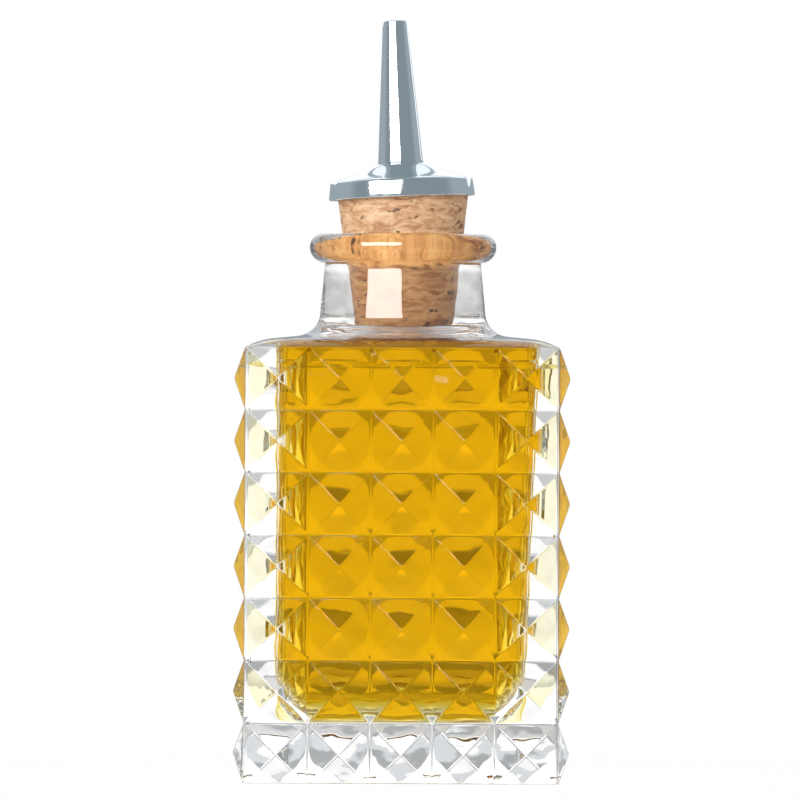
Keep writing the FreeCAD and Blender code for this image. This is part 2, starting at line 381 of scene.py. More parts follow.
# %% Rings of equal point count
SIDE_MARKS = [column * STUD_WIDTH - FIELD_HALF + STUD_WIDTH / 2 + m * STUD_WIDTH / ROW_HEIGHT
              for column in range(COLUMNS) for m in side_marks(ROW_HEIGHT / 2)]
SIDE_MARKS = sorted(set(round(m, 6) for m in SIDE_MARKS))
PER_SIDE = len(SIDE_MARKS) + 1
PER_RING = 4 * PER_SIDE
CORNER_OUT = FIELD_HALF + (BODY_HALF + stud_height(0, 1) - FIELD_HALF) / math.sqrt(2)


def side_point(half_width, corner, share):
    """Point and outward direction at a share of one side, from mid corner to mid corner."""
    quarter = math.pi / 4 * corner
    straight = 2 * (half_width - corner)
    along = share * (2 * quarter + straight)
    inner = half_width - corner
    if along < quarter or along > quarter + straight:
        left = along < quarter
        angle = (quarter - along if left else along - quarter - straight) / corner
        way = (-math.sin(angle) if left else math.sin(angle), -math.cos(angle))
        centre = (-inner if left else inner, -inner)
        return (centre[0] + corner * way[0], centre[1] + corner * way[1]), way
    return (along - quarter - inner, -half_width), (0.0, -1.0)


edge_length = 2 * (CORNER_OUT - FIELD_HALF) * math.sqrt(2) + 2 * FIELD_HALF
edge_shares = [0.0] + [((CORNER_OUT - FIELD_HALF) * math.sqrt(2) + m + FIELD_HALF) / edge_length
                       for m in SIDE_MARKS]


def ring(half_width, corner, even=1.0):
    """A rounded square ring; even = 0 keeps the spacing of the studs' edge, 1 is regular."""
    points, ways = [], []
    for side in range(4):
        for i in range(PER_SIDE):
            share = edge_shares[i] * (1 - even) + i / PER_SIDE * even
            point, way = side_point(half_width, corner, share)
            points.append(quarter_turn(*point, side))
            ways.append(quarter_turn(*way, side))
    return np.array(points), np.array(ways)


print("points in a ring:", PER_RING)

# %% Shoulder, flare, neck and lip
def crown_drop(half_width):
    """How far the rolled edge of the shoulder has dropped at a half width."""
    start = math.sin(SHOULDER_SLOPE)
    turn = start + (half_width - CROWN_START) / CROWN_RADIUS
    return CROWN_RADIUS * (math.sqrt(1 - start ** 2) - math.sqrt(1 - turn ** 2))


def shoulder_height(half_width):
    """Height of the shoulder's surface at a half width."""
    top = ROWS_TOP + crown_drop(BODY_HALF)
    if half_width > CROWN_START:
        return top - crown_drop(half_width)
    return top + (CROWN_START - half_width) * math.tan(SHOULDER_SLOPE)


def level_ring(half_width, corner, height, even=1.0):
    """A rounded square ring at one height."""
    points, _ = ring(half_width, corner, even)
    return np.column_stack([points, np.full(len(points), height)])


EDGE_DROP = 0.25           # how much of the top row the rounded upper edge takes away
SHOULDER_START, SHOULDER_RINGS = 25.35, 16
round_end = NECK_ROOT + NECK_FLARE


def shoulder_corner(half_width):
    """Corner radius of the shoulder's rings, which grows from the body to the neck."""
    inward = (BODY_HALF - half_width) / (BODY_HALF - round_end)
    return min(CROWN_CORNER + (round_end - CROWN_CORNER) * inward, half_width)


# The first rings roll the body's edge over: half width, corner, height, evenness.
outer_rings = [level_ring(26.07, 0.5, ROWS_TOP - 0.05, 0.02),
               level_ring(25.93, 0.9, ROWS_TOP + 0.09, 0.04),
               level_ring(25.70, 1.5, shoulder_height(25.70) - 0.02, 0.07)]
for step in range(SHOULDER_RINGS + 1):
    share = step / SHOULDER_RINGS
    half_width = SHOULDER_START + (round_end + 0.35 - SHOULDER_START) * share
    outer_rings.append(level_ring(half_width, shoulder_corner(half_width),
                                  shoulder_height(half_width), 0.1 + 0.9 * share))
flare_centre = (round_end, shoulder_height(round_end) + NECK_FLARE / math.cos(SHOULDER_SLOPE))
lower_lip = LIP_RADIUS - NECK_TOP
neck_line = arc(flare_centre, NECK_FLARE, 263, 180, 10)
neck_line += [(NECK_ROOT + (NECK_TOP - NECK_ROOT) * s, flare_centre[1]
               + (LIP_WIDEST - lower_lip - flare_centre[1]) * s) for s in (0.25, 0.5, 0.75)]
neck_line += arc((NECK_TOP, LIP_WIDEST), lower_lip, 270, 360, 10)
neck_line += arc((LIP_RADIUS - LIP_ROUND, LIP_WIDEST), LIP_ROUND, 9, 90, 9)
neck_line += [((LIP_RADIUS - LIP_ROUND + BORE + MOUTH_ROUND) / 2, LIP_TOP)]
neck_line += arc((BORE + MOUTH_ROUND, LIP_TOP - MOUTH_ROUND), MOUTH_ROUND, 90, 180, 6)
outer_rings += [level_ring(radius, radius, height) for radius, height in neck_line]
print("rings from the studs to the mouth:", len(outer_rings))

# %% The hollow, from the mouth down to the floor
def ceiling_height(radius):
    """Height of the hollow's sloping ceiling."""
    return CEILING_EDGE + (WALL_HIGH - radius) * math.tan(SHOULDER_SLOPE)


PEAK = ceiling_height(0)
WAVE = 0.10                # the inner wall is blown, not moulded, so it is gently wavy


def wall_half(height):
    """Half width of the hollow, which widens upwards."""
    return WALL_LOW + (WALL_HIGH - WALL_LOW) * (height - FLOOR) / (PEAK - FLOOR)


def wavy(points, ways, strength):
    """Rings pushed in and out a little by a slow noise."""
    moved = points.copy()
    for i, (x, y, z) in enumerate(points):
        push = noise.noise(Vector((x, y, z * 0.6)) * 0.11) * WAVE * strength
        moved[i, :2] += ways[i] * push
    return moved


def off_centre(height):
    """How far the middle of the hollow lies towards +X: it stands a little askew."""
    return -0.15 + 0.019 * (height - 15.5)


def neck_rings():
    """Rings of the bore, its flare and the ceiling, out to where the ceiling bends down."""
    flare_at = BORE + CEILING_FLARE
    centre = (flare_at, ceiling_height(flare_at) + CEILING_FLARE / math.cos(SHOULDER_SLOPE))
    line = [(BORE, LIP_TOP - MOUTH_ROUND - d) for d in (1.5, 3.5, 6.5, 9.5, 12.5)]
    line += arc(centre, CEILING_FLARE, 180, 263, 10)
    rings = [level_ring(radius, radius, height) for radius, height in line]
    first = line[-1][0]
    last = WALL_HIGH - CEILING_ROUND * (1 - math.cos(math.radians(CEILING_TURN)))
    last_corner = HOLLOW_CORNER - (WALL_HIGH - last)
    for step in range(1, 9):
        half_width = first + (last - first) * step / 9
        corner = half_width + (last_corner - last) * (step / 9) ** 1.5
        height = ceiling_height(half_width)
        ring_points = level_ring(half_width, corner, height)
        ring_points[:, 0] += off_centre(height) * step / 9
        rings.append(ring_points)
    return rings


round_foot = ceiling_height(WALL_HIGH - CEILING_ROUND) - CEILING_ROUND / math.cos(SHOULDER_SLOPE)


def wall_rings(top_angle, grow=0.0):
    """Rings of the ceiling's round, the walls and the floor; grow makes them larger."""
    bottom = FLOOR + FLOOR_ROUND
    line = []
    for step in range(9):
        angle = math.radians(top_angle * (1 - step / 8))
        reach = CEILING_ROUND * (1 - math.cos(angle))
        line.append((WALL_HIGH - reach + grow * math.cos(angle), reach,
                     round_foot + (CEILING_ROUND + grow) * math.sin(angle), step / 8))
    for step in range(9):
        height = SEAM + SEAM_REACH * (1 - step / 4)
        inward = 0.0 if grow else SEAM_DEPTH * (1 + math.cos(math.pi * (1 - step / 4))) / 2
        line.append((wall_half(height) + grow - inward, 0.0, height, 1.0))
    for step in range(1, 22):
        height = SEAM - SEAM_REACH + (bottom - SEAM + SEAM_REACH) * step / 21
        line.append((wall_half(height) + grow, 0.0, height, 1.0))
    for step in range(1, 11):
        angle = math.radians(90 * step / 10)
        inward = FLOOR_ROUND - (FLOOR_ROUND + grow) * math.cos(angle)
        line.append((wall_half(bottom) - inward, 1.0 - math.cos(angle),
                     bottom - (FLOOR_ROUND + grow) * math.sin(angle), 1 - step / 10))
    rings = []
    for half_width, less, height, strength in line:
        points, ways = ring(half_width, max(HOLLOW_CORNER + grow - less, 0.4))
        points = np.column_stack([points, np.full(len(points), height)])
        points = wavy(points, ways, strength)
        points[:, 0] += off_centre(height)
        rings.append(points)
    return rings + [rings[-1] * (share, share, 1.0) for share in (0.8, 0.6, 0.4, 0.2)]


def contact_angle():
    """The angle on the ceiling's round at which the drink touches it."""
    return math.degrees(math.asin((CONTACT - round_foot) / CEILING_ROUND))


inner_rings = neck_rings()
inner_rings += [points for points in wall_rings(CEILING_TURN)[:8] if points[0, 2] > CONTACT + 0.1]
dry_rings = len(outer_rings) + len(inner_rings) + 1
inner_rings += wall_rings(contact_angle())
print("rings from the mouth to the floor:", len(inner_rings))

# %% [markdown]
# ## One closed skin of glass
# The studded walls, the rings and the foot are now sewn into one closed mesh.  The foot is
# made last: the lowest row is cut off square, its edge is rolled in a little, and one flat
# face closes it.  A closed skin matters more for glass than for anything else, because a
# ray of light has to know at every crossing whether it goes in or comes out.
#
# The skin will have three finishes, and each face is given the number of its slot here.
# The slots stay empty until then; clearing them would set every face back to the first.

# %% Corner strips and the points of the top edge
DRY, WETTED, STUDDED = range(3)      # slots of the three finishes that the glass has


def corner_strips(skin):
    """Close the four upright corners; gives the top point of each corner's middle line."""
    columns = {}
    for vertex in skin.verts:
        for side in range(4):
            x, y = quarter_turn(vertex.co.x / MM, vertex.co.y / MM, (4 - side) % 4)
            if y < -BODY_HALF + 0.01 and abs(abs(x) - FIELD_HALF) < 1e-3:
                columns.setdefault((side, x > 0), []).append(vertex)
    for key in columns:
        columns[key].sort(key=lambda v: v.co.z)
    tops = []
    for side in range(4):
        right, left = columns[(side, True)], columns[((side + 1) % 4, False)]
        x, y = quarter_turn(CORNER_OUT, -CORNER_OUT, side)
        middle = [skin.verts.new((x * MM, y * MM, v.co.z)) for v in right]
        for near, far in ((right, middle), (middle, left)):
            for i in range(len(near) - 1):
                skin.faces.new((near[i], far[i], far[i + 1], near[i + 1]))
        tops.append(middle[-1])
    return tops


def top_edge(skin, corner_tops):
    """The points of the walls' upper edge, in the order of a ring's points."""
    top_row = [v for v in skin.verts if v.co.z > (ROWS_TOP - EDGE_DROP - 0.001) * MM]
    edge = []
    for side in range(4):
        edge.append(corner_tops[(side + 3) % 4])
        for mark in SIDE_MARKS:
            across = ((mark + FIELD_HALF) % STUD_WIDTH) / STUD_WIDTH * 2 - 1
            x, y = quarter_turn(mark, -(BODY_HALF + stud_height(across, 1)), side)
            edge.append(min(top_row, key=lambda v: math.hypot(v.co.x / MM - x, v.co.y / MM - y)))
    return edge


print("slots: dry", DRY, "wetted", WETTED, "studded", STUDDED)

# %% The foot, and the whole skin
FOOT_ROUND, FOOT_STEPS = 0.35, 4


def close_foot(skin):
    """Cut the lowest row off square, roll its edge in and close it with a flat face."""
    cut = skin.verts[:] + skin.edges[:] + skin.faces[:]
    bmesh.ops.bisect_plane(skin, geom=cut, plane_co=(0, 0, FOOT_ROUND * MM), plane_no=(0, 0, 1),
                           clear_inner=True, dist=1e-7)
    loop = [e for e in skin.edges if e.is_boundary]
    print("open edge above the foot:", len(loop), "edges")
    for step in range(1, FOOT_STEPS + 1):
        last = math.radians(90 * (step - 1) / FOOT_STEPS)
        angle = math.radians(90 * step / FOOT_STEPS)
        inward = FOOT_ROUND * (math.cos(last) - math.cos(angle))
        made = bmesh.ops.extrude_edge_only(skin, edges=loop)["geom"]
        loop = [g for g in made if isinstance(g, bmesh.types.BMEdge) and g.is_boundary]
        for vertex in [g for g in made if isinstance(g, bmesh.types.BMVert)]:
            reach = max(abs(vertex.co.x), abs(vertex.co.y)) / MM
            vertex.co.x *= (reach - inward) / reach
            vertex.co.y *= (reach - inward) / reach
            vertex.co.z = FOOT_ROUND * (1 - math.sin(angle)) * MM
    bmesh.ops.contextual_create(skin, geom=loop)
    bmesh.ops.triangulate(skin, faces=[f for f in skin.faces if len(f.verts) > 20])
    for face in skin.faces:
        if face.calc_center_median().z < 0.5 * MM:
            face.material_index = STUDDED


def sewn_glass():
    """The closed skin of the bottle, with a slot for each of its finishes."""
    skin = bmesh.new()
    skin.from_mesh(walls)
    for vertex in skin.verts:
        over = vertex.co.z / MM - (ROWS_TOP - HOLD)
        if over > 0:
            vertex.co.z -= EDGE_DROP * over / HOLD * MM
    previous = top_edge(skin, corner_strips(skin))
    wet_faces = []
    for number, points in enumerate(outer_rings + inner_rings):
        current = [skin.verts.new(Vector(p) * MM) for p in points]
        for i in range(PER_RING):
            j = (i + 1) % PER_RING
            face = skin.faces.new((previous[i], previous[j], current[j], current[i]))
            if number >= dry_rings:
                wet_faces.append(face)
        previous = current
    centre = skin.verts.new((0, 0, FLOOR * MM))
    for i in range(PER_RING):
        wet_faces.append(skin.faces.new((previous[i], previous[(i + 1) % PER_RING], centre)))
    for face in skin.faces:
        if face.calc_center_median().z < (ROWS_TOP - EDGE_DROP) * MM:
            face.material_index = STUDDED
    for face in wet_faces:
        face.material_index = WETTED
    close_foot(skin)
    bmesh.ops.recalc_face_normals(skin, faces=skin.faces[:])
    print("edges left open in the glass:", sum(not e.is_manifold for e in skin.edges))
    mesh = bpy.data.meshes.new("studded_glass")
    for slot in (DRY, WETTED, STUDDED):
        mesh.materials.append(None)
    skin.to_mesh(mesh)
    skin.free()
    mesh.shade_smooth()
    return mesh


glass = placed("studded_glass", sewn_glass())
weigh = glass.modifiers.new("Even shading", "WEIGHTED_NORMAL")
weigh.weight = 80
weighed = modified(glass)
glass.modifiers.clear()
glass.data = weighed
print("glass:", len(glass.data.vertices), "points,", len(glass.data.polygons), "faces")

# %% [markdown]
# ## The bitters
# The drink fills the hollow up to just under the top of the studs.  If its sides lay exactly
# on the glass, the renderer could not tell which comes first, and a gap would show as a film
# of air, so they reach a tenth of a millimetre into the wall.  Its top is flat in the middle
# and curves up to the glass, by the formula for a liquid that climbs an upright wall.

# %% Make the body of bitters
INTO_WALL = 0.12


def climb_gap(rise):
    """How far from the glass the curved edge of a liquid has this height over its level."""
    double = 2 * CAPILLARY
    return (CAPILLARY * (math.acosh(double / rise) - math.acosh(double / CLIMB))
            - math.sqrt(double ** 2 - rise ** 2) + math.sqrt(double ** 2 - CLIMB ** 2))


def bitters_mesh():
    """Points and faces of the drink, and the two face numbers between which its sides lie."""
    side_rings = wall_rings(contact_angle(), INTO_WALL)
    edge = max(side_rings[0][:, 1])
    corner = HOLLOW_CORNER - CEILING_ROUND * (1 - math.cos(math.radians(contact_angle())))
    top = [level_ring(edge * share, edge * share * 0.5, LEVEL) for share in (0.2, 0.4, 0.55, 0.68)]
    for share in (0.02, 0.05, 0.09, 0.15, 0.23, 0.33, 0.46, 0.6, 0.75, 0.88):
        gap = climb_gap(CLIMB * share)
        top.append(level_ring(edge - gap, max(corner - gap, 1.5 + gap * 0.4),
                              LEVEL + CLIMB * share))
    for points in top:
        points[:, 0] += off_centre(CONTACT)
    all_rings = top + side_rings
    points = [p for points in all_rings for p in points]
    faces = bands(len(all_rings), PER_RING, flip=True)
    points.append((off_centre(CONTACT), 0, LEVEL))
    faces += fan(0, PER_RING, len(points) - 1)
    points.append((0, 0, FLOOR - INTO_WALL))
    faces += fan((len(all_rings) - 1) * PER_RING, PER_RING, len(points) - 1, flip=True)
    return points, faces, len(top) * PER_RING, (len(all_rings) - 1) * PER_RING


points, faces, sides_start, sides_end = bitters_mesh()
bitters = new_piece("golden_bitters", points, faces)
for polygon in bitters.data.polygons:
    if polygon.index < sides_start or sides_end <= polygon.index < sides_end + PER_RING:
        polygon.material_index = 1
print("volumes: glass %.1f, bitters %.1f cubic centimetres" % (volume_of(glass), volume_of(bitters)))

# %% [markdown]
# ## The cork
# A cork is ground to a taper from bark, so its side shows short wavy growth lines and dark
# pits, and where the mouth of the bottle grips it the cork gives way.  The shape is a turned
# plug of many rings.  A noise roughens it, deeper where a pit is, and each point inside the
# mouth is held back to the glass, which it presses a few hundredths of a millimetre into.

# %% Roughness and squeeze of the cork
PRESSED = 0.06             # how far the cork presses into the glass
PASSAGE = 1.2              # radius of the hole through cork, cap and spout
CORK_ROUND = 0.5           # round of the cork's lower edge
CORK_HEAD = CORK_TOP - 0.02


def cork_skin_depth(angle, height, radius):
    """Roughness of the cork's side in millimetres: grain, and pits that lie along it."""
    x, y = radius * math.cos(angle), radius * math.sin(angle)
    grain = noise.fractal(Vector((x * 0.9, y * 0.9, height * 1.6)), 1.0, 2.2, 4)
    pit = noise.noise(Vector((x * 0.42 + 31, y * 0.42, height * 0.95)))
    return 0.035 * grain - 0.30 * max(0.0, pit - 0.42)


def cork_radius(height):
    """Radius of the smooth cork: its taper, less the round of its lower edge."""
    low = max(0.0, CORK_ROUND - (height - CORK_BOTTOM))
    rounded = CORK_ROUND * (1 - math.sqrt(max(0.0, 1 - (low / CORK_ROUND) ** 2)))
    return CORK_END + CORK_TAPER * (height - CORK_BOTTOM) - rounded


def squeeze(point):
    """Hold a point of the cork's side back to the mouth of the bottle."""
    into_round = max(0.0, point.z - (LIP_TOP - MOUTH_ROUND))
    room = BORE + MOUTH_ROUND - math.sqrt(max(0.0, MOUTH_ROUND ** 2 - into_round ** 2))
    reach = math.hypot(point.x, point.y)
    allowed = room + PRESSED
    if reach > allowed:
        point.x *= allowed / reach
        point.y *= allowed / reach


print("cork radius %.2f to %.2f mm" % (cork_radius(CORK_BOTTOM), cork_radius(CORK_TOP)))

# %% Turn the cork
CORK_AROUND, CORK_RINGS = 240, 92


def cork_end(outer, height, count):
    """Rings of a slightly rough end face, from its rim in to the passage."""
    rings = []
    for step in range(1, count + 1):
        radius = outer + (PASSAGE - outer) * step / count
        rough = 0.0 if step == count else 0.05
        rings.append([(x, y, z + rough * noise.noise(Vector((x, y, 5)) * 1.3))
                      for x, y, z in circle(radius, height, CORK_AROUND)])
    return rings


def joined(first, second, flip=False):
    """Faces between two rings of the cork, given by the numbers of their first points."""
    faces = []
    for i in range(CORK_AROUND):
        j = (i + 1) % CORK_AROUND
        quad = (first + i, first + j, second + j, second + i)
        faces.append(quad[::-1] if flip else quad)
    return faces


def cork_mesh():
    """Points and faces of the cork: its side, its two ends and its passage."""
    start = CORK_BOTTOM + CORK_ROUND
    heights = [CORK_BOTTOM, CORK_BOTTOM + 0.12, CORK_BOTTOM + 0.32]
    heights += [start + (CORK_HEAD - CORK_BOTTOM - CORK_ROUND) * i / CORK_RINGS
                for i in range(CORK_RINGS + 1)]
    points = []
    for height in heights:
        for i in range(CORK_AROUND):
            angle = 2 * math.pi * i / CORK_AROUND
            radius = cork_radius(height)
            fade = min(1.0, (height - CORK_BOTTOM) / CORK_ROUND)
            radius += cork_skin_depth(angle, height, radius) * fade
            points.append((radius * math.cos(angle), radius * math.sin(angle), height))
    points = tipped(points, CORK_LEAN)
    for point in points:
        if point.z < LIP_TOP:
            squeeze(point)
    faces = bands(len(heights), CORK_AROUND)
    holes = []
    for rim, outer, height, count in (
            (0, CORK_END - CORK_ROUND, CORK_BOTTOM, 4),
            (len(heights) - 1, CORK_END + CORK_TAPER * (CORK_HEAD - CORK_BOTTOM), CORK_HEAD, 2)):
        previous = rim * CORK_AROUND
        for ring_points in cork_end(outer, height, count):
            faces += joined(previous, len(points), flip=rim == 0)
            previous = len(points)
            points += tipped(ring_points, CORK_LEAN)
        holes.append(previous)
    return points, faces + joined(holes[0], holes[1])


cork = new_piece("tapered_cork", *cork_mesh())
print("cork:", len(cork.data.polygons), "faces, volume %.2f cubic centimetres" % volume_of(cork))

# %% [markdown]
# ## The chromed cap and spout
# Both are round, so each is a profile turned about its axis.  Screw or Spin would do the
# same; rings in code leave no seam to close.  Chrome has no colour of its own, and the small
# radii of the profile are what draws the bright lines along its edges.

# %% Turn the cap and the spout
def lathe(name, line, around=144):
    """A closed ring-shaped solid from a closed profile of (radius, height) points."""
    points = [p for radius, height in line + line[:1] for p in circle(radius, height, around)]
    piece = new_piece(name, tipped(points, POURER_LEAN), bands(len(line) + 1, around))
    body = bmesh.new()
    body.from_mesh(piece.data)
    bmesh.ops.remove_doubles(body, verts=body.verts[:], dist=1e-7)
    bmesh.ops.recalc_face_normals(body, faces=body.faces[:])
    body.to_mesh(piece.data)
    body.free()
    piece.data.shade_smooth()
    return piece


HEAD = 11.5                # inside radius of the skirt at the cork's head
SKIRT_MOUTH, SHEET = 11.8, 0.5
PLATE_TOP = CORK_TOP + 0.9
SKIRT_BOTTOM = PLATE_TOP - 3.2
CONE_TOP, CONE_EDGE = PLATE_TOP + 2.5, 4.15

cap_line = [(PASSAGE, CORK_TOP), (HEAD - 0.3, CORK_TOP)]
cap_line += arc((HEAD - 0.3, CORK_TOP - 0.3), 0.3, 90, 0, 4)
cap_line += [(SKIRT_MOUTH - 0.03, SKIRT_BOTTOM + 0.45), (SKIRT_MOUTH, SKIRT_BOTTOM + 0.25)]
cap_line += arc((SKIRT_MOUTH + SHEET / 2, SKIRT_BOTTOM + 0.25), SHEET / 2, 180, 360, 8)[1:]
cap_line += [(HEAD + SHEET + 0.02, PLATE_TOP - 0.75)]
cap_line += arc((HEAD + SHEET - 0.6, PLATE_TOP - 0.6), 0.6, 0, 70, 7)
cone_start = cap_line[-1]
for s in (0.12, 0.3, 0.5, 0.7, 0.85, 0.95):
    sag = 0.22 * math.sin(math.pi * s)
    cap_line.append((cone_start[0] + (CONE_EDGE + 0.25 - cone_start[0]) * s,
                     cone_start[1] + (CONE_TOP - cone_start[1]) * s - sag))
cap_line += arc((CONE_EDGE, CONE_TOP - 0.25), 0.25, 60, 90, 3) + [(PASSAGE, CONE_TOP)]
cap = lathe("pourer_cap_chrome", cap_line)

SPOUT_TOP = CONE_TOP + 24.2
SPOUT_FOOT, SPOUT_TIP = 3.8, 2.05
FOOT_EDGE, TIP_EDGE, HOLE_EDGE = 0.12, 0.25, 0.15      # small radii of the spout
spout_line = [(PASSAGE, CONE_TOP), (SPOUT_FOOT - FOOT_EDGE, CONE_TOP)]
spout_line += arc((SPOUT_FOOT - FOOT_EDGE, CONE_TOP + FOOT_EDGE), FOOT_EDGE, 270, 360, 3)[1:]
spout_line += [(SPOUT_FOOT + (SPOUT_TIP - SPOUT_FOOT) * s,
                CONE_TOP + FOOT_EDGE + (24.08 - TIP_EDGE) * s)
               for s in (0.02, 0.1, 0.25, 0.5, 0.75, 0.97, 1.0)]
spout_line += arc((SPOUT_TIP - TIP_EDGE, SPOUT_TOP - TIP_EDGE), TIP_EDGE, 0, 90, 4)[1:]
spout_line += arc((PASSAGE + HOLE_EDGE, SPOUT_TOP - HOLE_EDGE), HOLE_EDGE, 90, 180, 4)
spout = lathe("pourer_spout_chrome", spout_line)
for piece in (cap, spout):
    print(piece.name, len(piece.data.polygons), "faces, volume %.2f" % volume_of(piece))

# %% [markdown]
# ## Glass and bitters, the finishes
# Clear glass is a Principled shader that transmits everything and bends light by 1.52.
# Where the drink wets it, light crosses from glass to bitters with no air between, and the
# bend is only 1.52 / 1.36.  So the wetted inside wall has a finish of its own, and the sides
# of the drink add no second bend.  The colour of the drink is in its depth, not on its
# surface: a volume that swallows blue at once, green slowly and red hardly at all.
#
# A mirrored room washes the drink's colour out, so the studs have a third finish that
# mirrors much less than real glass does.  This is a choice of looks, not how glass behaves.

# %% Clear glass, its wetted wall, its studs, and the bitters
def finish(name, constants, material=None):
    """A Principled shader with these constants: material, wire, shader and output node."""
    material = material or bpy.data.materials.new(name)
    material.use_nodes = True
    tree = material.node_tree
    tree.nodes.clear()
    bench = Wire(tree)
    shader = bench.node("ShaderNodeBsdfPrincipled", {}, constants)
    output = tree.nodes.new("ShaderNodeOutputMaterial")
    shader.into(output, "Surface")
    return material, bench, shader.socket.node, output


def grain(bench, squeeze, scale, detail, roughness=0.5, distortion=0.0):
    """A noise over the piece in millimetres, squeezed by these three factors."""
    place = bench.node("ShaderNodeTexCoord", out="Object")
    millimetres = bench.node("ShaderNodeMapping", {"vector_type": "POINT"}, {
        "Vector": place, "Scale": tuple(s / MM for s in squeeze)})
    return bench.node("ShaderNodeTexNoise", {}, {
        "Vector": millimetres, "Scale": scale, "Detail": detail, "Roughness": roughness,
        "Distortion": distortion})


GLASS_BEND, BITTERS_BEND = 1.52, 1.36
BITTERS_TINT, BITTERS_DEPTH = (0.955, 0.853, 0.0, 1), 147.0
STUD_SHINE = 0.14


def clear(name, bend, waviness=0.0, mirror=1.0, density=0.0, material=None):
    """A finish for light to go through; mirror is the share of its shine that is kept."""
    material, bench, shader, output = finish(name, {
        "Base Color": (1, 1, 1, 1), "Roughness": 0.0, "Transmission Weight": 1.0, "IOR": bend,
        "Specular Tint": (mirror, mirror, mirror, 1)}, material)
    if waviness:
        bump = bench.node("ShaderNodeBump", {}, {
            "Height": grain(bench, (1, 1, 1), 0.16, 1.5, 0.45), "Strength": waviness,
            "Distance": 0.6 * MM})
        bump.into(shader, "Normal")
    if density:
        bench.node("ShaderNodeVolumeAbsorption", {}, {
            "Color": BITTERS_TINT, "Density": density}, out="Volume").into(output, "Volume")
    return material


clear("clear_glass", GLASS_BEND, 0.3, material=glass_material)
wetted = clear("wetted_glass", GLASS_BEND / BITTERS_BEND)
studded = clear("studded_glass", GLASS_BEND, 0.5, STUD_SHINE)
for slot, material in ((DRY, glass_material), (WETTED, wetted), (STUDDED, studded)):
    glass.data.materials[slot] = material
for name, bend in (("bitters", 1.0), ("bitters_surface", BITTERS_BEND)):
    bitters.data.materials.append(clear(name, bend, density=BITTERS_DEPTH))
print("faces with each finish:", [sum(p.material_index == slot for p in glass.data.polygons)
                                  for slot in (DRY, WETTED, STUDDED)])
print("bend between glass and bitters: %.3f" % (GLASS_BEND / BITTERS_BEND))

# %% [markdown]
# ## Cork and chrome, the finishes
# Cork is a warm tan with darker, redder growth lines that wander around the plug, and
# nearly black specks where pits were cut open.  Two stretched noises give the lines, a third
# gives the specks, and the same values roughen the surface through Bump.  Below the top of
# the lip the cork is painted darker and redder, a painted shade for the cork inside the glass,
# and lighter again in the band inside the lip, a painted light.
# Chrome is a mirror a little cool in colour, and faint wipe marks vary its roughness.

# %% Cork
cork_material, bench, shader, _ = finish("cork", {"Roughness": 0.72})
lines = grain(bench, (0.5, 0.5, 1.5), 0.55, 5.0, 0.62, 0.9)
fine = grain(bench, (0.8, 0.8, 2.2), 1.7, 6.0, 0.7, 0.4)
specks = grain(bench, (0.6, 0.6, 1.2), 0.8, 2.0, 0.5, 0.3)
tan = bench.node("ShaderNodeValToRGB", {}, {"Fac": lines})
stops = tan.socket.node.color_ramp.elements
stops.new(0.42)
stops.new(0.52)
for stop, place, colour in zip(stops, (0.30, 0.42, 0.52, 0.66), (
        (0.26, 0.100, 0.040, 1), (0.50, 0.250, 0.110, 1),
        (0.66, 0.395, 0.210, 1), (0.76, 0.510, 0.300, 1))):
    stop.position, stop.color = place, colour
streak = fine.ramp(0.53, 0.62)
reddish = streak.blend(tan, (0.42, 0.170, 0.065, 1))
streaked = (streak * 0.55).blend(tan, reddish)
place = bench.node("ShaderNodeTexCoord", out="Object")
height = bench.node("ShaderNodeSeparateXYZ", {}, {0: place}).other("Z")
# Below the top of the lip the cork is tinted darker and redder: painted shade for the cork inside
# the glass.
held = height.ramp((LIP_TOP + 0.6) * MM, (LIP_TOP - 0.6) * MM)
with_painted_shade = held.blend(streaked, streaked.tinted((0.97, 0.81, 0.57, 1)))
# A band inside the lip is made lighter than the cork's own colour: painted light.
painted_light_band = held * height.ramp((LIP_TOP - 6.2) * MM, (LIP_TOP - 4.8) * MM)
with_painted_shade_and_light = painted_light_band.blend(with_painted_shade, with_painted_shade.tinted((1.58, 1.60, 1.36, 1)))
pits = specks.ramp(0.63, 0.70)
(pits * 0.9).blend(with_painted_shade_and_light, (0.10, 0.040, 0.018, 1)).into(shader, "Base Color")
relief = fine * 0.5 + lines * 0.5 - pits * 0.6
bench.node("ShaderNodeBump", {}, {
    "Height": relief, "Strength": 0.55, "Distance": 0.25 * MM}).into(shader, "Normal")
cork.data.materials.append(cork_material)
print("cork finish:", len(cork_material.node_tree.nodes), "nodes")

# %% Chrome
chrome_material, bench, shader, _ = finish("chromed_metal", {
    "Base Color": (0.92, 0.96, 0.98, 1), "Metallic": 1.0})
wipes = grain(bench, (1, 1, 0.25), 0.5, 3.0)
(wipes.ramp(0.35, 0.75) * 0.05 + 0.05).into(shader, "Roughness")
for piece in (cap, spout):
    piece.data.materials.append(chrome_material)
print("chrome finish:", len(chrome_material.node_tree.nodes), "nodes")

# %% [markdown]
# ## Floor, surroundings, lamps and camera
# The camera sees plain white.  Through the glass a pale backdrop shows, darker below,
# brighter above and grey overhead, which sets the facets apart, because each bends the view
# up or down.  In front is a dim, cool room.
#
# Three more choices serve the looks, and no real studio gives them all.  Mirrors see a grey
# backdrop, which draws the edges of the chrome.  Light on its way to a matt surface sees a
# brighter room.  And a lamp either lights matt surfaces or shows in mirrors: the soft lamp
# comes as two, the mirrored one 2 cm nearer, because lamps at one place hide each other, and
# two lamps behind the bottle show only in mirrors, on the cap's cone and on the shoulder.

